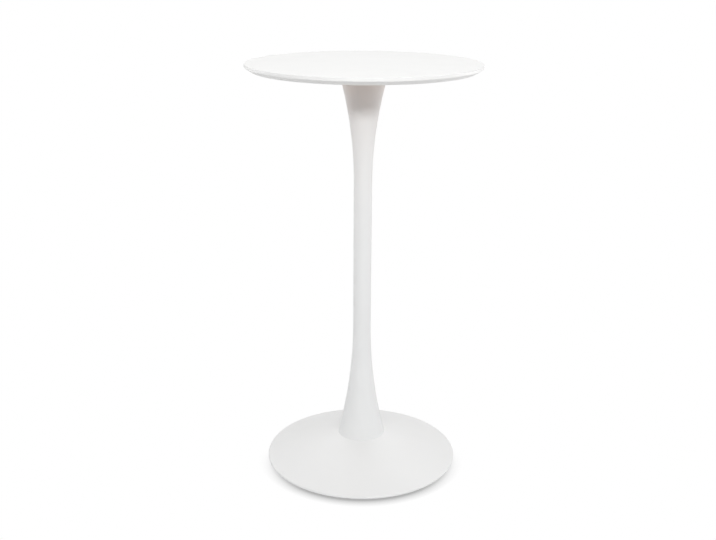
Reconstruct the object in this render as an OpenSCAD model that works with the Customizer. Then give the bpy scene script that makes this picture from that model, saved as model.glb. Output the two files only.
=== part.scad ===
// Bar table: a round lacquered top on a trumpet column and a low dished foot.
// Millimetres, +Z up. The origin is on the floor, on the column's axis.

/* [Overall] */
// Height of the table, floor to top surface
table_h = 1090; // [900:5:1200]

/* [Tabletop] */
// Diameter of the tabletop
top_d = 600; // [500:5:800]
// Thickness of the board
top_t = 18; // [16:0.5:25]
// Height of the upright band of the edge, under the top surface
nose_h = 8; // [5:0.5:10]
// How far the underside bevel runs in from the edge
bevel_in = 17; // [8:0.5:25]
// Radius that eases the upper edge
top_ease = 1; // [0.5:0.25:2.5]
// Radius that eases the edge between the upright band and the bevel
nose_ease = 2.5; // [0.5:0.25:4]
// Radius that eases the bevel's lower edge
under_ease = 2; // [0.5:0.25:4]

/* [Column] */
// Diameter of the neck, the straight middle of the column
neck_d = 47.5; // [42:0.5:60]
// Wall of the column
column_wall = 2.5; // [2:0.25:4]
// Diameter of the column at its foot
foot_d = 129; // [110:1:150]
// Height of the flare above the foot
foot_flare_h = 320; // [250:5:380]
// Diameter of the column under the top plate
head_d = 126; // [110:1:150]
// Height of the flare under the top plate
head_flare_h = 285; // [250:5:360]

/* [Base cover] */
// Diameter of the base
base_d = 522; // [460:2:600]
// Height of the land that the column stands on, above the floor
base_h = 70; // [60:1:80]
// Sheet thickness of the cover
sheet_t = 2.5; // [2:0.25:3.5]
// Height of the rim's upper corner above the floor
rim_h = 8.5; // [8:0.25:11]
// How far the cover bulges above a straight cone
crown_h = 2.5; // [1:0.25:6]
// Radius of the shoulder where the cover turns down
shoulder_r = 4; // [3.75:0.25:5]
// Radius of the fold under the rim
fold_r = 2.5; // [1:0.25:3]
// Width of the lip that is turned in under the rim
lip_w = 35; // [25:1:45]
// Width of the land that shows around the column's foot
land_margin = 1.5; // [0.5:0.25:5]

/* [Ballast and hub] */
// Thickness of the ballast plate
ballast_t = 8; // [5:0.5:10]
// Gap between the ballast plate's upper edge and the cover
ballast_gap = 0.5; // [0.3:0.1:1]
// Diameter of the spanner opening in the ballast plate
access_d = 110; // [104:1:112]
// How far the hub plate's edge lies inside the land
hub_plate_inset = 3; // [2:0.5:5]
// Thickness of the hub plate
hub_plate_t = 6; // [5:0.5:8]
// How far the hub tube lies inside the hub plate's edge
hub_tube_inset = 3; // [1:0.5:4]
// Wall of the hub tube
hub_tube_wall = 3; // [2:0.5:4]

/* [Floor ring] */
// Height of the rubber ring
ring_t = 3; // [2:0.25:4]
// Width of the rubber ring
ring_w = 12; // [8:0.5:15]
// How far the ring is set back from the rim
ring_setback = 9; // [5:0.5:12]
// Radius that eases the ring's edges
ring_ease = 0.6; // [0.25:0.05:0.9]

/* [Flanges and top plate] */
// Thickness of the flange in the column's foot
foot_flange_t = 10; // [8:0.5:14]
// Thickness of the flange in the column's head
head_flange_t = 8; // [7:0.5:12]
// Gap for the weld between a flange and the column
weld_gap = 0.3; // [0.1:0.05:0.5]
// Diameter of the plate under the tabletop
top_plate_d = 240; // [225:5:300]
// Thickness of the plate under the tabletop
top_plate_t = 5; // [5:0.5:8]

/* [Base bolts] */
// Number of bolts between the base and the column
base_bolt_n = 4; // [3:1:6]
// Diameter of their bolt circle
base_bolt_circle = 80; // [70:1:84]
// Thread diameter of the bolts
base_bolt_d = 8; // [8:1:10]
// Length of the bolts under the head
base_bolt_l = 20; // [20:1:24]
// Width of the hexagon head across its flats
base_head_af = 13; // [13:1:17]
// Height of the hexagon head
base_head_h = 5.3; // [5.3:0.1:6.4]
// Diameter of the flat washers
base_washer_d = 16; // [16:0.5:20]
// Thickness of the flat washers
base_washer_t = 1.6; // [1.6:0.1:2]
// Diameter of the spring washers
spring_washer_d = 14.8; // [14.8:0.1:18.1]
// Thickness of the spring washers
spring_washer_t = 2; // [2:0.1:2.2]
// Width of the slit in a spring washer
spring_slit_w = 1.5; // [1:0.25:2]

/* [Column head screws] */
// Number of countersunk screws between the top plate and the column
head_screw_n = 4; // [3:1:6]
// Diameter of their bolt circle
head_screw_circle = 76; // [66:1:80]
// Thread diameter of the screws
head_screw_d = 8; // [6:1:8]
// Length of the screws over all
head_screw_l = 16; // [14:1:20]
// Diameter of the countersunk head
head_screw_head_d = 16; // [14:0.5:16]
// Depth of the head below the plate's face
head_screw_sink = 0.2; // [0.1:0.05:0.4]
// Width of the hexagon socket across its flats
head_socket_af = 5; // [4:1:5]
// Depth of the hexagon socket
head_socket_depth = 3; // [2:0.25:3.5]

/* [Tabletop screws] */
// Number of screws between the top plate and the tabletop
top_screw_n = 8; // [4:1:8]
// Diameter of their bolt circle
top_screw_circle = 200; // [160:2:204]
// Thread diameter of the screws
top_screw_d = 6; // [5:1:6]
// Length of the screws under the head
top_screw_l = 16; // [14:1:18]
// Diameter of the screw heads
top_screw_head_d = 10.5; // [10:0.5:12]
// Height of the screw heads
top_screw_head_h = 3.3; // [3:0.1:4]
// Radius of the screw heads' domed edge
top_screw_dome_r = 2.4; // [1:0.1:2.6]
// Width of the hexagon socket across its flats
top_socket_af = 4; // [3:1:4]
// Depth of the hexagon socket
top_socket_depth = 2; // [1.5:0.1:2.4]
// Diameter of the washers
top_washer_d = 12; // [12:0.5:14]
// Thickness of the washers
top_washer_t = 1.6; // [1:0.1:2]
// Outside diameter of the threaded inserts
insert_d = 10; // [9:0.5:12]
// Length of the threaded inserts
insert_l = 12; // [10:0.5:13]

/* [Fits] */
// Radial gap between a thread and its tapped hole
thread_gap = 0.1; // [0.05:0.05:0.2]
// Radial gap between a bolt and a clearance hole
bolt_gap = 0.5; // [0.3:0.1:0.6]
// Radial gap between a bolt and a washer
washer_gap = 0.2; // [0.1:0.05:0.3]
// Gap around a threaded insert, filled with glue
insert_gap = 0.1; // [0.05:0.05:0.2]
// Radial gap between a countersunk head and its seat
head_seat_gap = 0.1; // [0.05:0.05:0.2]

/* [Hidden] */

white_lacquer = "#f4f3f1";
white_powder_coat = "#ececeb";
bare_steel = "#8d9094";
black_primer = "#2b2c2e";
zinc_plate = "#b9bcc0";
yellow_zinc = "#c4a668";
brass = "#c2a25a";
dark_rubber = "#3a3a3b";

turn_fn = 96;
hole_fn = 32;
sweep_fn = 360;
ease_fn = 48;
overcut = 1;

top_r = top_d / 2;
base_r = base_d / 2;
neck_r = neck_d / 2;

top_under_z = table_h - top_t;
head_z = top_under_z - top_plate_t;
head_flare_z = head_z - head_flare_h;
foot_flare_z = base_h + foot_flare_h;

// The flares are arcs that leave the neck without a corner
foot_sweep_r = sweep_radius(foot_flare_h, foot_d / 2 - neck_r);
head_sweep_r = sweep_radius(head_flare_h, head_d / 2 - neck_r);

// The cover's crown is an arc from the land's edge to the rim's corner
land_r = foot_d / 2 + land_margin;
crown_chord = [base_r - land_r, rim_h - base_h];
crown_len = norm(crown_chord);
crown_r = (crown_len * crown_len / 4 + crown_h * crown_h) / (2 * crown_h);
crown_up = [-crown_chord[1], crown_chord[0]] / crown_len;
crown_centre = [land_r, base_h] + crown_chord / 2 - crown_up * (crown_r - crown_h);

ballast_z = ring_t + sheet_t;
ballast_top_z = ballast_z + ballast_t;
ballast_r = crown_radius_at(ballast_top_z, sheet_t) - ballast_gap;
hub_top_z = base_h - sheet_t;
hub_plate_z = hub_top_z - hub_plate_t;
hub_plate_r = land_r - hub_plate_inset;
hub_tube_r = hub_plate_r - hub_tube_inset;
ring_r = base_r - ring_setback;

base_washer_z = hub_plate_z - base_washer_t;
spring_washer_z = base_washer_z - spring_washer_t;
top_washer_z = head_z - top_washer_t;
head_screw_top_z = top_under_z - head_screw_sink;
head_cone_h = (head_screw_head_d - head_screw_d) / 2;

// Radius of an arc that rises by rise while it spreads by spread
function sweep_radius(rise, spread) = (rise * rise + spread * spread) / (2 * spread);

// Radius of the column at height z, on a surface that lies inset inside the outer one
function column_radius_at(z, inset) =
    z < foot_flare_z ? flare_radius_at(foot_flare_z - z, foot_sweep_r, inset) :
    z > head_flare_z ? flare_radius_at(z - head_flare_z, head_sweep_r, inset) :
    neck_r - inset;
function flare_radius_at(away, sweep_r, inset) =
    neck_r + sweep_r - sqrt(pow(sweep_r + inset, 2) - away * away);

// Radius of the cover at height z, on a surface that lies inset inside the outer one
function crown_radius_at(z, inset) =
    crown_centre[0] + sqrt(pow(crown_r - inset, 2) - pow(z - crown_centre[1], 2));

// Geometry of an eased corner: unit vectors to the neighbours, and half the angle between them
function towards(a, b) = (b - a) / norm(b - a);
function half_angle(a, corner, b) = acos(towards(corner, a) * towards(corner, b)) / 2;
function ease_ends(a, corner, b, r) =
    let (cut = r / tan(half_angle(a, corner, b)))
    [corner + towards(corner, a) * cut, corner + towards(corner, b) * cut];
function ease_centre(a, corner, b, r) =
    let (between = towards(corner, a) + towards(corner, b))
    corner + between / norm(between) * r / sin(half_angle(a, corner, b));

// A convex outline whose corners are eased with true arcs, one radius for each corner
module eased_outline(points, radii) {
    last = len(points) - 1;
    function before(i) = points[i == 0 ? last : i - 1];
    function after(i) = points[i == last ? 0 : i + 1];
    function ends(i) = ease_ends(before(i), points[i], after(i), radii[i]);
    polygon([for (i = [0:last]) for (p = radii[i] > 0 ? ends(i) : [points[i]]) p]);
    for (i = [0:last])
        if (radii[i] > 0) {
            centre = ease_centre(before(i), points[i], after(i), radii[i]);
            intersection() {
                polygon([ends(i)[0], points[i], ends(i)[1], centre]);
                translate(centre) circle(r = radii[i], $fn = ease_fn);
            }
        }
}

// Children repeated on a bolt circle, half a pitch away from the X axis
module on_circle(diameter, count) {
    for (i = [0:count - 1])
        rotate(360 * (i + 0.5) / count) translate([diameter / 2, 0, 0]) children();
}

module hole(r, z, h) {
    translate([0, 0, z]) cylinder(r = r, h = h, $fn = hole_fn);
}

module hexagon_prism(across_flats, z, h) {
    translate([0, 0, z]) cylinder(d = across_flats / cos(30), h = h, $fn = 6);
}

module washer(outer_d, inner_d, z, h, fn = hole_fn) {
    translate([0, 0, z]) difference() {
        cylinder(d = outer_d, h = h, $fn = fn);
        translate([0, 0, -overcut]) cylinder(d = inner_d, h = h + 2 * overcut, $fn = fn);
    }
}

// Half section of the column out to a surface that lies inset inside the outer one,
// run past both ends by extra
module column_section(inset, extra) {
    difference() {
        translate([0, base_h - extra]) square([foot_d, foot_flare_h + extra]);
        translate([neck_r + foot_sweep_r, foot_flare_z])
            circle(r = foot_sweep_r + inset, $fn = sweep_fn);
    }
    translate([0, foot_flare_z]) square([neck_r - inset, head_flare_z - foot_flare_z]);
    difference() {
        translate([0, head_flare_z]) square([head_d, head_flare_h + extra]);
        translate([neck_r + head_sweep_r, head_flare_z])
            circle(r = head_sweep_r + inset, $fn = sweep_fn);
    }
}

// Half section of a flange that fills the column between two heights
module flange_section(z_low, z_high) {
    polygon([[0, z_low],
             [column_radius_at(z_low, column_wall) - weld_gap, z_low],
             [column_radius_at(z_high, column_wall) - weld_gap, z_high],
             [0, z_high]]);
}

// Half section of the space under the cover's skin, down to a surface that lies inset inside it
module cover_section(inset) {
    r = base_r - inset;
    corner_r = shoulder_r - inset;
    corner_x = r - corner_r;
    reach = crown_r - shoulder_r;
    corner_z = crown_centre[1] + sqrt(reach * reach - pow(corner_x - crown_centre[0], 2));
    away = towards(crown_centre, [corner_x, corner_z]);
    low_z = ring_t + inset;
    intersection() {
        translate(crown_centre) circle(r = crown_r - inset, $fn = 4 * sweep_fn);
        translate([0, low_z]) square([corner_x + away[0] * corner_r, base_h - inset - low_z]);
    }
    intersection() {
        translate([corner_x, corner_z]) circle(r = corner_r, $fn = ease_fn);
        translate([0, corner_z]) square([r, corner_r]);
    }
    eased_outline([[0, low_z], [r, low_z], [r, corner_z], [0, corner_z]],
                  [0, max(fold_r - inset, 0), 0, 0]);
}

// Board of lacquered fibreboard with a thin edge and a bevelled underside
module tabletop() {
    color(white_lacquer) difference() {
        rotate_extrude($fn = turn_fn)
            eased_outline([[0, top_under_z],
                           [top_r - bevel_in, top_under_z],
                           [top_r, table_h - nose_h],
                           [top_r, table_h],
                           [0, table_h]],
                          [0, under_ease, nose_ease, top_ease, 0]);
        on_circle(top_screw_circle, top_screw_n)
            hole(insert_d / 2 + insert_gap, top_under_z - overcut, insert_l + overcut + insert_gap);
    }
}

// Brass sleeves let into the underside of the board
module threaded_inserts() {
    color(brass) on_circle(top_screw_circle, top_screw_n)
        washer(insert_d, top_screw_d + 2 * thread_gap, top_under_z, insert_l);
}

// Round steel plate, zinc-plated and passivated yellow, that carries the board
module top_plate() {
    color(yellow_zinc) difference() {
        translate([0, 0, head_z]) cylinder(d = top_plate_d, h = top_plate_t, $fn = turn_fn);
        on_circle(top_screw_circle, top_screw_n)
            hole(top_screw_d / 2 + bolt_gap, head_z - overcut, top_plate_t + 2 * overcut);
        on_circle(head_screw_circle, head_screw_n) {
            hole(head_screw_d / 2 + bolt_gap, head_z - overcut, top_plate_t + 2 * overcut);
            translate([0, 0, head_screw_top_z - head_cone_h])
                cylinder(r1 = head_screw_d / 2 + head_seat_gap,
                         r2 = head_screw_head_d / 2 + head_seat_gap,
                         h = head_cone_h, $fn = hole_fn);
            hole(head_screw_head_d / 2 + head_seat_gap, head_screw_top_z,
                 head_screw_sink + overcut);
        }
    }
}

// Washers under the heads of the tabletop screws
module top_plate_washers() {
    color(zinc_plate) on_circle(top_screw_circle, top_screw_n)
        washer(top_washer_d, top_screw_d + 2 * washer_gap, top_washer_z, top_washer_t);
}

// Domed socket screws, driven up through the plate into the board
module top_plate_screws() {
    color(zinc_plate) on_circle(top_screw_circle, top_screw_n) difference() {
        union() {
            rotate_extrude($fn = hole_fn)
                eased_outline([[0, top_washer_z - top_screw_head_h],
                               [top_screw_head_d / 2, top_washer_z - top_screw_head_h],
                               [top_screw_head_d / 2, top_washer_z],
                               [0, top_washer_z]],
                              [0, top_screw_dome_r, 0, 0]);
            hole(top_screw_d / 2, top_washer_z, top_screw_l);
        }
        hexagon_prism(top_socket_af, top_washer_z - top_screw_head_h - overcut,
                      top_socket_depth + overcut);
    }
}

// Countersunk screws, driven down through the plate into the column's head
module flange_screws() {
    color(zinc_plate) on_circle(head_screw_circle, head_screw_n) difference() {
        union() {
            translate([0, 0, head_screw_top_z - head_cone_h])
                cylinder(d1 = head_screw_d, d2 = head_screw_head_d, h = head_cone_h, $fn = hole_fn);
            hole(head_screw_d / 2, head_screw_top_z - head_screw_l, head_screw_l - head_cone_h);
        }
        hexagon_prism(head_socket_af, head_screw_top_z - head_socket_depth,
                      head_socket_depth + overcut);
    }
}

// Tapped disc welded into the column's head
module head_flange() {
    color(bare_steel) difference() {
        rotate_extrude($fn = turn_fn) flange_section(head_z - head_flange_t, head_z);
        on_circle(head_screw_circle, head_screw_n)
            hole(head_screw_d / 2 + thread_gap, head_z - head_flange_t - overcut,
                 head_flange_t + 2 * overcut);
    }
}

// Spun steel tube that opens into a trumpet at both ends
module column_shell() {
    color(white_powder_coat) rotate_extrude($fn = turn_fn) difference() {
        column_section(0, 0);
        column_section(column_wall, overcut);
    }
}

// Tapped disc welded into the column's foot
module foot_flange() {
    color(bare_steel) difference() {
        rotate_extrude($fn = turn_fn) flange_section(base_h, base_h + foot_flange_t);
        on_circle(base_bolt_circle, base_bolt_n)
            hole(base_bolt_d / 2 + thread_gap, base_h - overcut, foot_flange_t + 2 * overcut);
    }
}

// Spun steel cover, from the land under the column out to the rim and in under it
module base_cover() {
    color(white_powder_coat) difference() {
        rotate_extrude($fn = turn_fn) difference() {
            cover_section(0);
            cover_section(sheet_t);
            translate([0, ring_t - overcut]) square([base_r - lip_w, sheet_t + 2 * overcut]);
        }
        on_circle(base_bolt_circle, base_bolt_n)
            hole(base_bolt_d / 2 + bolt_gap, hub_top_z - overcut, sheet_t + 2 * overcut);
    }
}

// Steel disc welded under the land, which spreads the bolts' pull
module hub_plate() {
    color(bare_steel) difference() {
        translate([0, 0, hub_plate_z]) cylinder(r = hub_plate_r, h = hub_plate_t, $fn = turn_fn);
        on_circle(base_bolt_circle, base_bolt_n)
            hole(base_bolt_d / 2 + bolt_gap, hub_plate_z - overcut, hub_plate_t + 2 * overcut);
    }
}

// Steel tube that carries the hub plate on the ballast plate
module hub_tube() {
    color(bare_steel)
        washer(2 * hub_tube_r, 2 * (hub_tube_r - hub_tube_wall), ballast_top_z,
               hub_plate_z - ballast_top_z, fn = turn_fn);
}

// Heavy steel disc that lies on the turned-in lip, with an opening for the spanner
module ballast_plate() {
    color(black_primer)
        washer(2 * ballast_r, access_d, ballast_z, ballast_t, fn = turn_fn);
}

// Flat washers under the hub plate
module base_washers() {
    color(zinc_plate) on_circle(base_bolt_circle, base_bolt_n)
        washer(base_washer_d, base_bolt_d + 2 * washer_gap, base_washer_z, base_washer_t);
}

// Split spring washers between the flat washers and the bolt heads
module base_spring_washers() {
    color(zinc_plate) on_circle(base_bolt_circle, base_bolt_n) difference() {
        washer(spring_washer_d, base_bolt_d + 2 * washer_gap, spring_washer_z, spring_washer_t);
        translate([0, -spring_slit_w / 2, spring_washer_z - overcut])
            cube([spring_washer_d, spring_slit_w, spring_washer_t + 2 * overcut]);
    }
}

// Hexagon bolts, driven up from under the base into the column's foot
module base_bolts() {
    color(zinc_plate) on_circle(base_bolt_circle, base_bolt_n) {
        hexagon_prism(base_head_af, spring_washer_z - base_head_h, base_head_h);
        hole(base_bolt_d / 2, spring_washer_z, base_bolt_l);
    }
}

// Rubber ring glued under the turned-in lip
module floor_ring() {
    color(dark_rubber) rotate_extrude($fn = turn_fn)
        eased_outline([[ring_r - ring_w, 0], [ring_r, 0], [ring_r, ring_t], [ring_r - ring_w, ring_t]],
                      [ring_ease, ring_ease, 0, 0]);
}

tabletop();
threaded_inserts();
top_plate();
top_plate_washers();
top_plate_screws();
flange_screws();
head_flange();
column_shell();
foot_flange();
base_cover();
hub_plate();
hub_tube();
ballast_plate();
base_washers();
base_spring_washers();
base_bolts();
floor_ring();
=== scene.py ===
# Bar table: a round lacquered top on a trumpet column and a low crowned foot
import math

import bmesh
import bpy
from mathutils import Matrix, Vector


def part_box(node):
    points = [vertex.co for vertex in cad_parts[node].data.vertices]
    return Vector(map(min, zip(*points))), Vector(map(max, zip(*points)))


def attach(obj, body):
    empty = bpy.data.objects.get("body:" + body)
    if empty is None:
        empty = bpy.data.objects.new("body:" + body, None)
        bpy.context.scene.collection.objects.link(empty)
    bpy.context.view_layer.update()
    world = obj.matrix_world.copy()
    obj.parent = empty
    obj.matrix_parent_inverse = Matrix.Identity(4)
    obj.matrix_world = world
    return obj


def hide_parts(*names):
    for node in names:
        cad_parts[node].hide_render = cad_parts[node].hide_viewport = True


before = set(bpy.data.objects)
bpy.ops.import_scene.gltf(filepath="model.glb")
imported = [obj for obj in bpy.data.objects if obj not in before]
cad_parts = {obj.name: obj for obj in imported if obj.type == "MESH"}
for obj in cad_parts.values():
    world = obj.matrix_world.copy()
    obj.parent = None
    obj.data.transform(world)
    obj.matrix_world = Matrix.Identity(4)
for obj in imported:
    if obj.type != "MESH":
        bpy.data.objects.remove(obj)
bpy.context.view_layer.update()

scene = bpy.context.scene
mm = 0.001
fullTurn = 2 * math.pi
print("frame loaded:", len(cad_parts), "nodes")


# The circles of fasteners that several pieces share
topCircle = {"diameter": 200 * mm, "count": 8}   # board to plate
headCircle = {"diameter": 76 * mm, "count": 4}   # plate to column
footCircle = {"diameter": 80 * mm, "count": 4}   # column to foot


# Outer radius of a round node that stands on the table's axis
def radiusOf(node):
    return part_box(node)[1].x


def bottomOf(node):
    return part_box(node)[0].z


def topOf(node):
    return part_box(node)[1].z


# Materials

noiseDetail = 3            # octaves, where a finish doesn't name its own
noiseRange = (0.3, 0.7)    # most of a noise lies between these values
usualIor = 1.5             # refractive index, likewise
wavePhase = 20             # radians that the wave texture runs through per unit, at scale 1


def linearColour(hexColour):  # sRGB hex to the linear values that the shaders use
    channels = [int(hexColour[i:i + 2], 16) / 255 for i in (1, 3, 5)]
    return [c / 12.92 if c <= 0.04045 else ((c + 0.055) / 1.055) ** 2.4 for c in channels] + [1]


# Adds a node, sets its settings, and fills its inputs with values or links
def addNode(tree, kind, inputs=None, **settings):
    node = tree.nodes.new(kind)
    for name, value in settings.items():
        setattr(node, name, value)
    for key, value in (inputs or {}).items():
        if isinstance(value, bpy.types.NodeSocket):
            tree.links.new(value, node.inputs[key])
        else:
            node.inputs[key].default_value = value
    return node


# Noise whose features measure about size, squeezed into the range from low to high
def addMottle(tree, place, size, low=0, high=1, detail=noiseDetail):
    noise = addNode(tree, "ShaderNodeTexNoise", {"Vector": place, "Scale": 1 / size, "Detail": detail})
    squeezed = addNode(tree, "ShaderNodeMapRange",
                       {"Value": noise.outputs[0], "From Min": noiseRange[0], "From Max": noiseRange[1],
                        "To Min": low, "To Max": high})
    return squeezed.outputs[0]


# A relief of the given depth, which follows a height between 0 and 1 and may lie on another relief
def addRelief(tree, height, depth, surface, under=None):
    inputs = {"Height": height, "Strength": 1, "Distance": depth}
    if under:
        inputs["Normal"] = under.outputs[0]
    bump = addNode(tree, "ShaderNodeBump", inputs)
    tree.links.new(bump.outputs[0], surface.inputs["Normal"])
    return bump


# A finish. Its colour drifts over patches of driftSize and its roughness over patches of dullSize,
# and its reliefs, each a size and a depth, lie on one another. A pattern too fine to show is drawn
# coarser, with its real size beside it
def makeFinish(name, s):
    material = bpy.data.materials.new(name)
    material.use_nodes = True
    tree = material.node_tree
    surface = tree.nodes["Principled BSDF"]
    surface.inputs["Metallic"].default_value = s["metallic"]
    surface.inputs["IOR"].default_value = s.get("ior", usualIor)
    place = addNode(tree, "ShaderNodeTexCoord").outputs["Object"]
    drift = addMottle(tree, place, s["driftSize"], detail=s.get("driftDetail", noiseDetail))
    colour = addNode(tree, "ShaderNodeMix",
                     {"Factor": drift, "A": linearColour(s["colour"]),
                      "B": linearColour(s["colourDrift"])},
                     data_type="RGBA")
    tree.links.new(colour.outputs["Result"], surface.inputs["Base Color"])
    tree.links.new(addMottle(tree, place, s["dullSize"], *s["roughness"]), surface.inputs["Roughness"])
    relief = None
    for size, depth in s["reliefs"]:
        height = addMottle(tree, place, size, detail=s.get("reliefDetail", noiseDetail))
        relief = addRelief(tree, height, depth, surface, relief)
    return material


# Polyurethane lacquer, sprayed in coats on fibreboard: an even satin white with a trace of orange peel
lacquer = {
    "metallic": 0,
    "colour": "#efefee",
    "colourDrift": "#ededec",
    "driftSize": 220 * mm,
    "dullSize": 55 * mm,
    "roughness": (0.40, 0.48),
    "reliefs": [(7 * mm, 0.010 * mm)],       # orange peel, really 2 mm
}

# Medium-density fibreboard, pressed and sealed: the dull tan of the board's underside
fibreboard = {
    "metallic": 0,
    "colour": "#cd9b79",
    "colourDrift": "#c2906e",
    "driftSize": 60 * mm,
    "driftDetail": 9,
    "dullSize": 7.5 * mm,
    "roughness": (0.62, 0.75),
    "reliefs": [(3 * mm, 0.03 * mm)],        # fibre bundles, really 1 mm
    "reliefDetail": 6,
}

# Polyester powder, baked on steel: a satin white with soft orange peel and a fine grain
powderCoat = {
    "metallic": 0,
    "colour": "#edeeee",
    "colourDrift": "#ebecec",
    "driftSize": 180 * mm,
    "dullSize": 36 * mm,
    "roughness": (0.44, 0.52),
    "reliefs": [(8 * mm, 0.030 * mm),        # orange peel, really 3 mm
                (1.2 * mm, 0.004 * mm)],     # powder grains that melted into a fine texture
}

# Cold-rolled steel, cut and left bare under a film of oil: grey metal, dull in patches
millSteel = {
    "metallic": 1,
    "colour": "#8f9296",
    "colourDrift": "#7b7c80",
    "driftSize": 14 * mm,
    "dullSize": 7 * mm,
    "roughness": (0.38, 0.58),
    "reliefs": [(1.5 * mm, 0.02 * mm)],      # marks of the rolls
}

# Epoxy primer, sprayed thin on hot-rolled plate: matt black with a dry, grainy overspray
primer = {
    "metallic": 0,
    "colour": "#2b2c2e",
    "colourDrift": "#353638",
    "driftSize": 40 * mm,
    "dullSize": 10 * mm,
    "roughness": (0.62, 0.78),
    "reliefs": [(2 * mm, 0.02 * mm)],        # overspray specks, really 0.3 mm
    "reliefDetail": 5,
}

# Bright zinc, plated and passivated: a cool silver with a faint blue cast
zinc = {
    "metallic": 1,
    "colour": "#c2c6cb",
    "colourDrift": "#b3b6bf",
    "driftSize": 5 * mm,
    "dullSize": 2.5 * mm,
    "roughness": (0.22, 0.34),
    "reliefs": [(0.6 * mm, 0.003 * mm)],     # uneven plating
}

# Zinc plate under a yellow chromate film: gold that drifts towards pink, as thin films do
yellowZinc = {
    "metallic": 1,
    "colour": "#dcae70",
    "colourDrift": "#da9a70",
    "driftSize": 18 * mm,
    "dullSize": 6 * mm,
    "roughness": (0.34, 0.48),
    "reliefs": [(0.8 * mm, 0.004 * mm)],     # uneven plating
}

# Free-cutting brass, turned: a warm yellow with tool rings along its height
brass = {
    "metallic": 1,
    "colour": "#c9a55c",
    "colourDrift": "#b8934d",
    "driftSize": 4 * mm,
    "dullSize": 2 * mm,
    "roughness": (0.26, 0.38),
    "reliefs": [],
    "turningPitch": 1.5708 * mm,             # tool rings, really 0.1 mm
    "turningDepth": 0.004 * mm,
}

# Styrene rubber, moulded in a blasted mould: matt dark grey with a fine skin
rubber = {
    "metallic": 0,
    "ior": 1.52,
    "colour": "#3a3a3b",
    "colourDrift": "#424242",
    "driftSize": 25 * mm,
    "dullSize": 5 * mm,
    "roughness": (0.74, 0.86),
    "reliefs": [(1 * mm, 0.03 * mm)],        # blasted skin
    "reliefDetail": 4,
}


# The brass finish, with rings that a lathe tool leaves
def makeTurnedBrass(s):
    material = makeFinish("turnedBrass", s)
    tree = material.node_tree
    surface = tree.nodes["Principled BSDF"]
    place = tree.nodes["Texture Coordinate"].outputs["Object"]
    rings = addNode(tree, "ShaderNodeTexWave",
                    {"Vector": place, "Scale": fullTurn / wavePhase / s["turningPitch"]},
                    bands_direction="Z")
    addRelief(tree, rings.outputs["Fac"], s["turningDepth"], surface)
    return material


materials = {
    "white_lacquer": makeFinish("sprayedPolyurethaneLacquer", lacquer),
    "white_powder_coat": makeFinish("bakedPolyesterPowder", powderCoat),
    "bare_steel": makeFinish("coldRolledSteel", millSteel),
    "black_primer": makeFinish("sprayedEpoxyPrimer", primer),
    "zinc_plate": makeFinish("brightZincPlate", zinc),
    "yellow_zinc": makeFinish("yellowChromatedZinc", yellowZinc),
    "brass": makeTurnedBrass(brass),
    "dark_rubber": makeFinish("mouldedRubber", rubber),
}
boardUnderside = makeFinish("sealedFibreboard", fibreboard)
print("materials made:", len(materials) + 1)


# Modelling tools. A profile is a chain of vertices in the half plane y = 0, radius along x

weld = 0.001 * mm      # vertices closer together than this become one
overcut = 1 * mm       # how far a cutting tool reaches past the face where it enters
boltSteps = 48         # sides of a round shank, head or hole
discSteps = 192        # sides of a round plate or ring


def addPoints(bm, points, after=None):  # a straight-sided chain, which may go on from a vertex
    verts = [after] if after else []
    verts += [bm.verts.new((r, 0, z)) for r, z in points]
    for first, second in zip(verts, verts[1:]):
        bm.edges.new((first, second))
    return verts[-len(points):]


def addArc(bm, start, centre, angle, steps):  # swings a vertex round a centre and keeps its trail
    swung = bmesh.ops.spin(bm, geom=[start], cent=(centre[0], 0, centre[1]), axis=(0, 1, 0),
                           angle=angle, steps=steps, use_merge=False)
    return next(part for part in swung["geom_last"] if isinstance(part, bmesh.types.BMVert))


def arcRadius(halfWidth, bulge):  # of an arc that rises by its bulge at the middle of its width
    return (halfWidth ** 2 + bulge ** 2) / (2 * bulge)


def easeCorner(bm, corner, radius, steps=6):  # rounds a corner of a profile to a true radius
    arms = [edge.other_vert(corner).co - corner.co for edge in corner.link_edges]
    cut = radius / math.tan(arms[0].angle(arms[1]) / 2)
    bmesh.ops.bevel(bm, geom=[corner], offset=cut, offset_type="OFFSET", segments=steps, profile=0.5,
                    affect="VERTICES", material=-1)


def turnProfile(bm, steps):  # spins the profile once round the table's axis and closes it
    bmesh.ops.spin(bm, geom=bm.verts[:] + bm.edges[:], cent=(0, 0, 0), axis=(0, 0, 1),
                   angle=fullTurn, steps=steps, use_merge=True)
    bmesh.ops.remove_doubles(bm, verts=bm.verts[:], dist=weld)
    bmesh.ops.recalc_face_normals(bm, faces=bm.faces[:])


# A ring round the table's axis with all four edges eased
def turnRing(inner, outer, low, high, ease, easeSteps, steps):
    bm = bmesh.new()
    section = addPoints(bm, [(inner, low), (outer, low), (outer, high), (inner, high)])
    bm.edges.new((section[-1], section[0]))
    for corner in section:
        easeCorner(bm, corner, ease, easeSteps)
    turnProfile(bm, steps)
    return bm


# A disc round the table's axis with both edges eased, which may be wider at one face
def turnDisc(lowRadius, highRadius, low, high, ease, easeSteps):
    bm = bmesh.new()
    section = addPoints(bm, [(0, low), (lowRadius, low), (highRadius, high), (0, high)])
    for corner in section[1:3]:
        easeCorner(bm, corner, ease, easeSteps)
    turnProfile(bm, discSteps)
    return bm


# A straight or stepped pin, round or with flat sides: (radius, height) pairs from its lower end up
def turnPin(steps, sides=boltSteps):
    bm = bmesh.new()
    addPoints(bm, [(0, steps[0][1])] + steps + [(0, steps[-1][1])])
    turnProfile(bm, sides)
    return bm


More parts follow.
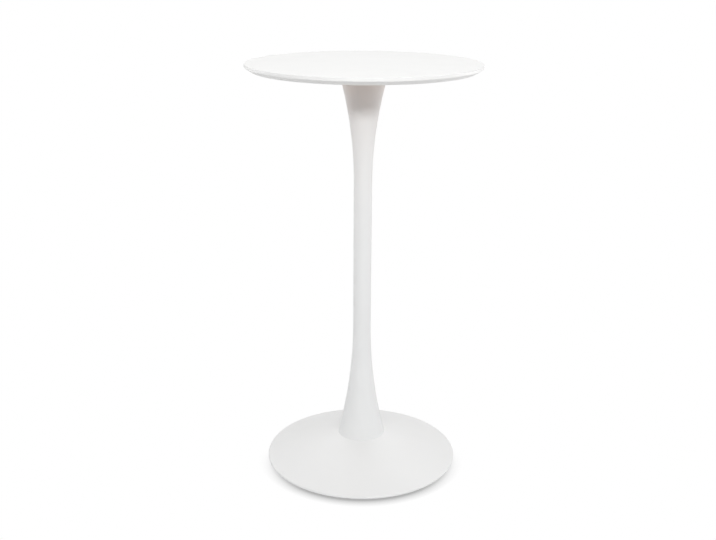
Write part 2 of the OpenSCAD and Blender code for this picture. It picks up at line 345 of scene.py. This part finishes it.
# Copies of a bmesh on a circle of fasteners, half a pitch away from the x axis
def repeatOnCircle(bm, circle):
    count = circle["count"]
    geom = bm.verts[:] + bm.edges[:] + bm.faces[:]
    bmesh.ops.translate(bm, verts=bm.verts[:], vec=(circle["diameter"] / 2, 0, 0))
    bmesh.ops.rotate(bm, verts=bm.verts[:], cent=(0, 0, 0),
                     matrix=Matrix.Rotation(fullTurn / count / 2, 3, "Z"))
    for i in range(1, count):
        copied = bmesh.ops.duplicate(bm, geom=geom)["geom"]
        verts = [part for part in copied if isinstance(part, bmesh.types.BMVert)]
        bmesh.ops.rotate(bm, verts=verts, cent=(0, 0, 0),
                         matrix=Matrix.Rotation(fullTurn * i / count, 3, "Z"))


def makeObject(name, bm):
    mesh = bpy.data.meshes.new(name)
    bm.to_mesh(mesh)
    bm.free()
    made = bpy.data.objects.new(name, mesh)
    scene.collection.objects.link(made)
    return made


# Cuts a tool out of a body, or joins or intersects them, and returns the result
def carve(bodyMesh, toolMesh, operation="DIFFERENCE"):
    body = makeObject("body", bodyMesh)
    tool = makeObject("tool", toolMesh)
    cut = body.modifiers.new("cut", "BOOLEAN")
    cut.operation = operation
    cut.solver = "EXACT"
    cut.object = tool
    result = bmesh.new()
    result.from_object(body, bpy.context.evaluated_depsgraph_get())
    bmesh.ops.remove_doubles(result, verts=result.verts[:], dist=weld)
    for used in (body, tool):
        bpy.data.meshes.remove(used.data)  # takes its object with it
    return result


# A finished piece, riding on the table: smooth where it is round, sharp at corners of sharpFrom
# degrees or more
def finishPiece(name, bm, slot, extraMaterials=(), sharpFrom=40):
    for face in bm.faces:
        face.smooth = True
    piece = makeObject(name, bm)
    piece.data.set_sharp_from_angle(angle=math.radians(sharpFrom))
    for material in (materials[slot], *extraMaterials):
        piece.data.materials.append(material)
    even = piece.modifiers.new("evenShade", "WEIGHTED_NORMAL")
    even.keep_sharp = True
    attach(piece, "root")
    return piece


# Tabletop

tabletop = {
    "noseHeight": 8 * mm,      # upright band of the edge
    "bevelIn": 17 * mm,        # run of the bevel under it
    "topEase": 1 * mm,
    "noseEase": 2.5 * mm,
    "underEase": 2 * mm,
    "holeRadius": 5.1 * mm,    # bored for the threaded inserts
    "holeDepth": 12.1 * mm,
    "steps": 256,
}
facesDown = -0.99              # upright part of the normal of a face that looks straight down


def makeTabletop(s):
    low, high, rim = bottomOf("tabletop"), topOf("tabletop"), radiusOf("tabletop")
    bm = bmesh.new()
    chain = addPoints(bm, [(0, low), (rim - s["bevelIn"], low), (rim, high - s["noseHeight"]),
                           (rim, high), (0, high)])
    for corner, ease in zip(chain[1:4], (s["underEase"], s["noseEase"], s["topEase"])):
        easeCorner(bm, corner, ease)
    turnProfile(bm, s["steps"])
    drill = turnPin([(s["holeRadius"], low - overcut), (s["holeRadius"], low + s["holeDepth"])])
    repeatOnCircle(drill, topCircle)
    bm = carve(bm, drill)
    for face in bm.faces:
        face.material_index = int(face.normal.z < facesDown)  # the flat underside is bare board
    piece = finishPiece("tabletop_board", bm, "white_lacquer", [boardUnderside])
    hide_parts("tabletop")


# Column

column = {
    "neckRadius": 23.75 * mm,
    "headRadius": 63 * mm,
    "wall": 2.5 * mm,
    "footFlare": 320 * mm,     # height of the flare above the foot
    "headFlare": 285 * mm,
    "footEase": 0.2 * mm,      # turned true, so that it meets the cover without a gap
    "headEase": 0.5 * mm,
    "arcSteps": 28,
    "steps": 192,
}


# Each flare is an arc that leaves the neck without a corner, outside and inside the wall
def makeColumn(s):
    low, high = bottomOf("column_shell"), topOf("column_shell")
    neck = s["neckRadius"]
    flares = [(low, low + s["footFlare"], radiusOf("column_shell") - neck),
              (high, high - s["headFlare"], s["headRadius"] - neck)]
    bm = bmesh.new()
    ends = []
    for inset in (0, s["wall"]):
        for end, neckEnd, spread in flares:
            rise = abs(end - neckEnd)
            sweep = arcRadius(rise, spread)
            start = addPoints(bm, [(neck - inset, neckEnd)])[0]
            turn = math.copysign(math.asin(rise / (sweep + inset)), end - neckEnd)
            ends.append((start, addArc(bm, start, (neck + sweep, neckEnd), turn, s["arcSteps"])))
    (outerLow, outerFoot), (outerHigh, outerHead), (innerLow, innerFoot), (innerHigh, innerHead) = ends
    for pair in ((outerLow, outerHigh), (innerLow, innerHigh), (outerFoot, innerFoot),
                 (outerHead, innerHead)):
        bm.edges.new(pair)
    easeCorner(bm, outerFoot, s["footEase"], steps=3)
    easeCorner(bm, outerHead, s["headEase"], steps=4)
    turnProfile(bm, s["steps"])
    piece = finishPiece("trumpet_column", bm, "white_powder_coat")
    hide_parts("column_shell")


# Base cover

cover = {
    "sheet": 2.5 * mm,
    "landMargin": 1.5 * mm,    # width of the land that shows round the column's foot
    "rimHeight": 5.5 * mm,     # rim's upper corner over its lower face
    "crown": 2.5 * mm,         # bulge over a straight cone
    "shoulder": 4 * mm,        # rounding over the rim
    "fold": 2.5 * mm,          # rounding under it, where the sheet turns in
    "lip": 35 * mm,            # width of the sheet that is turned in
    "landEase": 3 * mm,
    "boltRadius": 4.5 * mm,    # of the holes for the bolts
    "arcSteps": 28,
    "steps": 256,
}


# The crown is an arc that bulges over the straight cone from the land to the rim
def makeCover(s):
    low, high, outer = bottomOf("base_cover"), topOf("base_cover"), radiusOf("base_cover")
    land = radiusOf("column_shell") + s["landMargin"]
    start, end = Vector((land, high)), Vector((outer, low + s["rimHeight"]))
    crownRadius = arcRadius((end - start).length / 2, s["crown"])
    up = Vector((start.y - end.y, end.x - start.x)).normalized()
    centre = (start + end) / 2 - up * (crownRadius - s["crown"])
    bm = bmesh.new()
    lips = []
    for inset in (0, s["sheet"]):
        bend = crownRadius - inset
        landZ, rimR, lipZ = high - inset, outer - inset, low + inset
        fromAngle = math.acos((landZ - centre.y) / bend)  # both angles from upright, about the centre
        toAngle = math.asin((rimR - centre.x) / bend)
        edge = addPoints(bm, [(0, landZ), (centre.x + bend * math.sin(fromAngle), landZ)])[1]
        rim = addArc(bm, edge, centre, toAngle - fromAngle, s["arcSteps"])
        fold, lipEdge = addPoints(bm, [(rimR, lipZ), (outer - s["lip"], lipZ)], rim)
        easeCorner(bm, edge, s["landEase"] + inset)
        easeCorner(bm, rim, s["shoulder"] - inset)
        if s["fold"] > inset:
            easeCorner(bm, fold, s["fold"] - inset)
        lips.append(lipEdge)
    bm.edges.new(lips)
    turnProfile(bm, s["steps"])
    drill = turnPin([(s["boltRadius"], high - s["sheet"] - overcut), (s["boltRadius"], high + overcut)])
    repeatOnCircle(drill, footCircle)
    piece = finishPiece("foot_cover", carve(bm, drill), "white_powder_coat")
    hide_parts("base_cover")


makeTabletop(tabletop)
makeColumn(column)
makeCover(cover)
print("white shells made")


# Plates and rings. Inner is a radius, as it is on the washers

rings = {
    "floor_ring": {"name": "rubber_ring", "inner": 240 * mm, "ease": 0.6 * mm, "slot": "dark_rubber"},
    "ballast_plate": {"name": "ballast_disc", "inner": 55 * mm, "ease": 0.6 * mm, "slot": "black_primer"},
    "hub_tube": {"name": "hub_sleeve", "inner": 57 * mm, "ease": 0.3 * mm, "slot": "bare_steel"},
}


def makeRing(node, s):
    bm = turnRing(s["inner"], radiusOf(node), bottomOf(node), topOf(node), s["ease"],
                  easeSteps=4, steps=discSteps)
    piece = finishPiece(s["name"], bm, s["slot"])
    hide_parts(node)


for node, settings in rings.items():
    makeRing(node, settings)


plates = {
    "top_plate": {
        "name": "mounting_plate",
        "slot": "yellow_zinc",
        "ease": 0.8 * mm,
        "holes": [
            {"circle": topCircle, "radius": 3.5 * mm},
            {"circle": headCircle, "radius": 4.5 * mm, "sinkRadius": 8.1 * mm, "sinkRecess": 0.2 * mm},
        ],
    },
    "hub_plate": {
        "name": "hub_disc",
        "slot": "bare_steel",
        "ease": 0.5 * mm,
        "holes": [{"circle": footCircle, "radius": 4.5 * mm}],
    },
}


# A countersunk hole narrows at 45 degrees from sinkRecess under the upper face
def makePlate(node, s):
    low, high, outer = bottomOf(node), topOf(node), radiusOf(node)
    bm = turnDisc(outer, outer, low, high, s["ease"], easeSteps=4)
    for hole in s["holes"]:
        radius = hole["radius"]
        steps = [(radius, low - overcut)]
        if "sinkRadius" in hole:
            sink, mouth = hole["sinkRadius"], high - hole["sinkRecess"]
            steps += [(radius, mouth - (sink - radius)), (sink, mouth)]
        steps.append((steps[-1][0], high + overcut))
        drill = turnPin(steps)
        repeatOnCircle(drill, hole["circle"])
        bm = carve(bm, drill)
    piece = finishPiece(s["name"], bm, s["slot"])
    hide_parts(node)


for node, settings in plates.items():
    makePlate(node, settings)
print("plates and rings made")


# Washers

washers = {
    "top_plate_washers": {"name": "plate_washers", "outer": 6 * mm, "inner": 3.2 * mm,
                          "ease": 0.3 * mm, "circle": topCircle},
    "base_washers": {"name": "bolt_washers", "outer": 8 * mm, "inner": 4.2 * mm,
                     "ease": 0.3 * mm, "circle": footCircle},
    "base_spring_washers": {"name": "split_washers", "outer": 7.4 * mm, "inner": 4.2 * mm,
                            "ease": 0.35 * mm, "circle": footCircle, "slit": 1.5 * mm},
}
washerSteps = 64       # sides of a washer


def makeWashers(node, s):
    low, high = bottomOf(node), topOf(node)
    bm = turnRing(s["inner"], s["outer"], low, high, s["ease"], easeSteps=3, steps=washerSteps)
    if "slit" in s:
        saw = bmesh.new()
        bmesh.ops.create_cube(saw, size=1)
        bmesh.ops.scale(saw, verts=saw.verts[:], vec=(2 * s["outer"], s["slit"], 2 * (high - low)))
        bmesh.ops.translate(saw, verts=saw.verts[:], vec=(s["outer"], 0, (low + high) / 2))
        bm = carve(bm, saw)
    repeatOnCircle(bm, s["circle"])
    piece = finishPiece(s["name"], bm, "zinc_plate")
    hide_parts(node)


for node, settings in washers.items():
    makeWashers(node, settings)


# Screws and bolts

def hexagonCorner(flats):  # radius of a hexagon's corners
    return flats / 2 / math.cos(math.pi / 6)


# Cuts a hexagon socket with a countersunk mouth, upwards (1) or downwards (-1) from a face of the head
def cutSocket(bm, s, face, into):
    corner, lead = hexagonCorner(s["socketFlats"]), s["socketLead"]
    hexagon = [(corner, face - into * overcut), (corner, face + into * s["socketDepth"])]
    mouth = [(corner + lead, face - into * lead), (corner + lead, face),
             (corner - lead, face + into * 2 * lead)]
    for steps, sides in ((hexagon, 6), (mouth, boltSteps)):
        bm = carve(bm, turnPin(steps[::into], sides))
    return bm


socketScrew = {
    "headRadius": 5.25 * mm,
    "headHeight": 3.3 * mm,
    "dome": 2.4 * mm,
    "seatEase": 0.2 * mm,
    "shankRadius": 3 * mm,
    "pointEase": 0.7 * mm,
    "socketFlats": 4 * mm,
    "socketDepth": 2 * mm,
    "socketLead": 0.25 * mm,   # countersink at the mouth of the socket
}


# Domed socket screws, heads down
def makeSocketScrews(s):
    low, high = bottomOf("top_plate_screws"), topOf("top_plate_screws")
    seat = low + s["headHeight"]
    bm = bmesh.new()
    chain = addPoints(bm, [(0, low), (s["headRadius"], low), (s["headRadius"], seat),
                           (s["shankRadius"], seat), (s["shankRadius"], high), (0, high)])
    easeCorner(bm, chain[1], s["dome"], steps=10)
    easeCorner(bm, chain[2], s["seatEase"], steps=2)
    easeCorner(bm, chain[4], s["pointEase"], steps=1)
    turnProfile(bm, boltSteps)
    bm = cutSocket(bm, s, low, 1)
    repeatOnCircle(bm, topCircle)
    piece = finishPiece("socket_screws", bm, "zinc_plate", sharpFrom=30)
    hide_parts("top_plate_screws")


hexBolt = {
    "flats": 13 * mm,
    "headHeight": 5.3 * mm,
    "crown": 30,               # degrees of the chamfer that rounds the head's corners
    "faceRadius": 6.1 * mm,    # flat disc that the chamfer leaves
    "crownSteps": 96,
    "shankRadius": 4 * mm,
    "shankRoot": 2 * mm,       # depth in the head from which the shank grows
    "pointEase": 0.9 * mm,
}


# Hexagon bolts, heads down
def makeHexBolts(s):
    low, high = bottomOf("base_bolts"), topOf("base_bolts")
    seat = low + s["headHeight"]
    corner = hexagonCorner(s["flats"])
    reach = corner + overcut
    climb = (reach - s["faceRadius"]) * math.tan(math.radians(s["crown"]))
    hexagon = turnPin([(corner, low), (corner, seat)], 6)
    cone = turnPin([(s["faceRadius"], low), (reach, low + climb), (reach, seat + overcut)],
                   s["crownSteps"])
    shank = bmesh.new()
    chain = addPoints(shank, [(0, seat - s["shankRoot"]), (s["shankRadius"], seat - s["shankRoot"]),
                              (s["shankRadius"], high), (0, high)])
    easeCorner(shank, chain[2], s["pointEase"], steps=1)
    turnProfile(shank, boltSteps)
    bm = carve(carve(hexagon, cone, "INTERSECT"), shank, "UNION")
    repeatOnCircle(bm, footCircle)
    piece = finishPiece("hex_bolts", bm, "zinc_plate", sharpFrom=25)
    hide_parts("base_bolts")


countersunkScrew = {
    "headRadius": 8 * mm,
    "shankRadius": 4 * mm,
    "headEase": 0.25 * mm,
    "pointEase": 0.9 * mm,
    "socketFlats": 5 * mm,
    "socketDepth": 3 * mm,
    "socketLead": 0.3 * mm,
}


# Countersunk socket screws, heads up
def makeCountersunkScrews(s):
    low, high = bottomOf("flange_screws"), topOf("flange_screws")
    seat = high - (s["headRadius"] - s["shankRadius"])
    bm = bmesh.new()
    chain = addPoints(bm, [(0, low), (s["shankRadius"], low), (s["shankRadius"], seat),
                           (s["headRadius"], high), (0, high)])
    easeCorner(bm, chain[1], s["pointEase"], steps=1)
    easeCorner(bm, chain[3], s["headEase"], steps=2)
    turnProfile(bm, boltSteps)
    bm = cutSocket(bm, s, high, -1)
    repeatOnCircle(bm, headCircle)
    piece = finishPiece("countersunk_screws", bm, "zinc_plate", sharpFrom=30)
    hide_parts("flange_screws")


knurledInsert = {
    "outer": 5 * mm,
    "inner": 3.1 * mm,
    "teeth": 30,
    "toothDepth": 0.3 * mm,
    "bandDepth": 0.4 * mm,     # depth of the plain bands below the teeth's tips
    "endBand": 1.2 * mm,       # height of the plain band at each end
    "middleBand": 1.4 * mm,
    "mouth": 0.4 * mm,         # countersink at both ends of the bore
}


# Brass inserts, turned and knurled in two bands that grip the board
def makeInserts(s):
    low, high = bottomOf("threaded_inserts"), topOf("threaded_inserts")
    plain, tip, bore = s["outer"] - s["bandDepth"], s["outer"], s["inner"]
    teethLow, teethHigh = low + s["endBand"], high - s["endBand"]
    waistLow, waistHigh = (low + high - s["middleBand"]) / 2, (low + high + s["middleBand"]) / 2
    bm = bmesh.new()
    chain = addPoints(bm, [(bore, low), (plain, low), (plain, teethLow), (tip, teethLow),
                           (tip, waistLow), (plain, waistLow), (plain, waistHigh), (tip, waistHigh),
                           (tip, teethHigh), (plain, teethHigh), (plain, high), (bore, high)])
    bm.edges.new((chain[-1], chain[0]))
    for corner in (chain[0], chain[-1]):
        easeCorner(bm, corner, s["mouth"], steps=1)
    turnProfile(bm, 2 * s["teeth"])
    for vert in bm.verts:  # every second point round the tips falls back into a valley
        place = round(math.atan2(vert.co.y, vert.co.x) / fullTurn * 2 * s["teeth"])
        if place % 2 and vert.co.xy.length > (plain + tip) / 2:
            vert.co.xy *= 1 - s["toothDepth"] / tip
    repeatOnCircle(bm, topCircle)
    piece = finishPiece("knurled_inserts", bm, "brass", sharpFrom=20)
    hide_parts("threaded_inserts")


makeSocketScrews(socketScrew)
makeHexBolts(hexBolt)
makeCountersunkScrews(countersunkScrew)
makeInserts(knurledInsert)
print("washers, screws, bolts and inserts made")


# Flanges

flanges = {
    "head_flange": {"name": "head_disc", "circle": headCircle},
    "foot_flange": {"name": "foot_disc", "circle": footCircle},
}
flangeFit = {
    "weldGap": 0.3 * mm,       # between a flange and the column's wall
    "ease": 0.4 * mm,
    "holeRadius": 4.1 * mm,    # tapped for the M8 screws
    "holeMouth": 0.8 * mm,     # countersink at both ends of a hole
}


# Inner radius of the column at a height within one of its flares, told by the nearer end
def columnInside(z, s=column):
    low, high = bottomOf("column_shell"), topOf("column_shell")
    fromEnd, rise, endRadius = min((z - low, s["footFlare"], radiusOf("column_shell")),
                                   (high - z, s["headFlare"], s["headRadius"]))
    sweep = arcRadius(rise, endRadius - s["neckRadius"])
    return s["neckRadius"] + sweep - math.sqrt((sweep + s["wall"]) ** 2 - (rise - fromEnd) ** 2)


def makeFlange(node, s, fit):
    low, high = bottomOf(node), topOf(node)
    bm = turnDisc(columnInside(low) - fit["weldGap"], columnInside(high) - fit["weldGap"], low, high,
                  fit["ease"], easeSteps=2)
    bore, mouth = fit["holeRadius"], fit["holeMouth"]
    drill = turnPin([(bore + mouth, low - overcut), (bore + mouth, low), (bore, low + mouth),
                     (bore, high - mouth), (bore + mouth, high), (bore + mouth, high + overcut)])
    repeatOnCircle(drill, s["circle"])
    piece = finishPiece(s["name"], carve(bm, drill), "bare_steel")
    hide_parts(node)


for node, settings in flanges.items():
    makeFlange(node, settings, flangeFit)
print("flanges made")


# Stage

stage = {
    "floorSize": 16,           # metres
    "floorColour": "#e6e6e6",  # what the floor throws back on the object
    "skyLight": 0.198,         # strength of the white surroundings on the object
    "shadowReach": 31 * mm,    # width of the painted soft shadow round the foot
    "shadowTilt": 60,          # degrees that the occlusion test which paints the shadow leans towards the back
    "shadowPower": 2,          # how fast it darkens towards the foot
    "shadowDeepest": 0.39,     # white that is left where it is darkest
    "shadowFront": -212 * mm,  # depth from which the shadow is full
    "shadowSide": 10 * mm,     # depth behind which there is none
}


# What the camera and mirrors see of the stage is white, what lights the object is softer
def seenDirectly(tree):
    path = addNode(tree, "ShaderNodeLightPath").outputs
    seen = path["Is Camera Ray"]
    for other in ("Is Glossy Ray", "Is Transmission Ray"):
        seen = addNode(tree, "ShaderNodeMath", {0: seen, 1: path[other]}, operation="MAXIMUM").outputs[0]
    return seen


def makeWorld(s):
    world = bpy.data.worlds.new("studio")
    scene.world = world
    world.use_nodes = True
    tree = world.node_tree
    strength = addNode(tree, "ShaderNodeMapRange",
                       {"Value": seenDirectly(tree), "To Min": s["skyLight"], "To Max": 1})
    background = tree.nodes["Background"]
    background.inputs["Color"].default_value = (1, 1, 1, 1)
    tree.links.new(strength.outputs[0], background.inputs["Strength"])


# A white floor, painted for the light that falls on it and glowing for the camera. The glow is
# darkened where the foot stands close over it: a painted shadow of the foot, worked out by an occlusion
# test and not cast by the lamps
def makeFloor(s):
    bm = bmesh.new()
    bmesh.ops.create_grid(bm, x_segments=1, y_segments=1, size=s["floorSize"] / 2)
    floor = makeObject("floor", bm)
    material = bpy.data.materials.new("paintedFloor")
    material.use_nodes = True
    material.cycles.emission_sampling = "NONE"
    tree = material.node_tree
    tree.nodes.remove(tree.nodes["Principled BSDF"])
    # Painted shadow: an occlusion test that leans towards the back, softened, then faded out towards the
    # sides
    tilt = math.radians(s["shadowTilt"])
    lean = addNode(tree, "ShaderNodeCombineXYZ", {"Y": math.sin(tilt), "Z": math.cos(tilt)})
    openness = addNode(tree, "ShaderNodeAmbientOcclusion",
                       {"Distance": s["shadowReach"], "Normal": lean.outputs[0]})
    softened = addNode(tree, "ShaderNodeMath",
                       {0: openness.outputs["AO"], 1: s["shadowPower"]}, operation="POWER")
    shade = addNode(tree, "ShaderNodeMapRange",
                    {"Value": softened.outputs[0], "To Min": s["shadowDeepest"]})
    place = addNode(tree, "ShaderNodeTexCoord").outputs["Object"]
    depth = addNode(tree, "ShaderNodeSeparateXYZ", {0: place}).outputs["Y"]
    amount = addNode(tree, "ShaderNodeMapRange",
                     {"Value": depth, "From Min": s["shadowFront"], "From Max": s["shadowSide"],
                      "To Min": 1, "To Max": 0})
    white = addNode(tree, "ShaderNodeMix", {"Factor": amount.outputs[0], "A": 1, "B": shade.outputs[0]})
    glow = addNode(tree, "ShaderNodeEmission", {"Strength": white.outputs["Result"]})
    paint = addNode(tree, "ShaderNodeBsdfDiffuse", {"Color": linearColour(s["floorColour"])})
    both = addNode(tree, "ShaderNodeMixShader",
                   {0: seenDirectly(tree), 1: paint.outputs[0], 2: glow.outputs[0]})
    tree.links.new(both.outputs[0], tree.nodes["Material Output"].inputs["Surface"])
    floor.data.materials.append(material)


# Softboxes: angles in degrees, distances and sizes (width by height) in metres, powers in watts.
# The low ones at the sides stay under the tabletop, so that its satin face doesn't mirror them
lamps = {
    "frontStrip": {"azimuth": 2, "elevation": 23, "distance": 3.2, "size": (2.8, 0.35), "power": 57.5},
    "frontFill": {"azimuth": 2, "elevation": 32, "distance": 3.2, "size": (2.8, 0.5), "power": 6.3},
    "leftPanel": {"azimuth": -112, "elevation": 15, "distance": 2.6, "size": (2.2, 1.6), "power": 7},
    "leftSide": {"azimuth": -112, "elevation": -6, "distance": 2.6, "size": (2.2, 0.7), "power": 10.4},
    "leftHigh": {"azimuth": -60, "elevation": 50, "distance": 2.8, "size": (2, 2), "power": 11.5},
    "rightPanel": {"azimuth": 112, "elevation": 15, "distance": 2.6, "size": (2.2, 1.6), "power": 5.2},
    "rightSide": {"azimuth": 112, "elevation": -6, "distance": 2.6, "size": (2.2, 0.7), "power": 12.6},
    "rightFront": {"azimuth": 55, "elevation": 18, "distance": 2.8, "size": (1.6, 1.6), "power": 6.5},
    "rightHigh": {"azimuth": 60, "elevation": 50, "distance": 2.8, "size": (2, 2), "power": 11},
    "backHigh": {"azimuth": 180, "elevation": 55, "distance": 2.8, "size": (2, 2), "power": 31},
}
lampAim = Vector((0, 0, 1))    # the point that every lamp faces


# The azimuth turns from the front towards the right
def makeLamp(name, s):
    turn, lift = math.radians(s["azimuth"]), math.radians(s["elevation"])
    away = Vector((math.sin(turn) * math.cos(lift), -math.cos(turn) * math.cos(lift), math.sin(lift)))
    data = bpy.data.lights.new(name, "AREA")
    data.shape = "RECTANGLE"
    data.size, data.size_y = s["size"]
    data.energy = s["power"]
    lamp = bpy.data.objects.new(name, data)
    scene.collection.objects.link(lamp)
    lamp.location = lampAim + away * s["distance"]
    lamp.rotation_euler = away.to_track_quat("Z", "Y").to_euler()


makeWorld(stage)
makeFloor(stage)
for name, settings in lamps.items():
    makeLamp(name, settings)


# Camera

view = {
    "focalPixels": 1008,       # focal length in the photograph's pixels
    "frameWidth": 716,         # the photograph's width in pixels
    "sensorWidth": 36,         # millimetres, as Blender counts it
    "place": (0, -2.564, 1.377),
    "pitch": 18.0,             # degrees below the horizon
    "yaw": 0.26,               # degrees to the left
    "roll": 0.36,              # degrees
}


def makeCamera(s):
    data = bpy.data.cameras.new("camera")
    data.sensor_width = s["sensorWidth"]
    data.lens = s["sensorWidth"] * s["focalPixels"] / s["frameWidth"]
    camera = bpy.data.objects.new("camera", data)
    scene.collection.objects.link(camera)
    turns = [Matrix.Rotation(math.radians(angle), 4, axis)
             for angle, axis in ((s["yaw"], "Z"), (90 - s["pitch"], "X"), (s["roll"], "Z"))]
    camera.matrix_world = Matrix.Translation(s["place"]) @ turns[0] @ turns[1] @ turns[2]
    scene.camera = camera


makeCamera(view)
scene.view_settings.view_transform = "Standard"
print("stage, lamps and camera set")
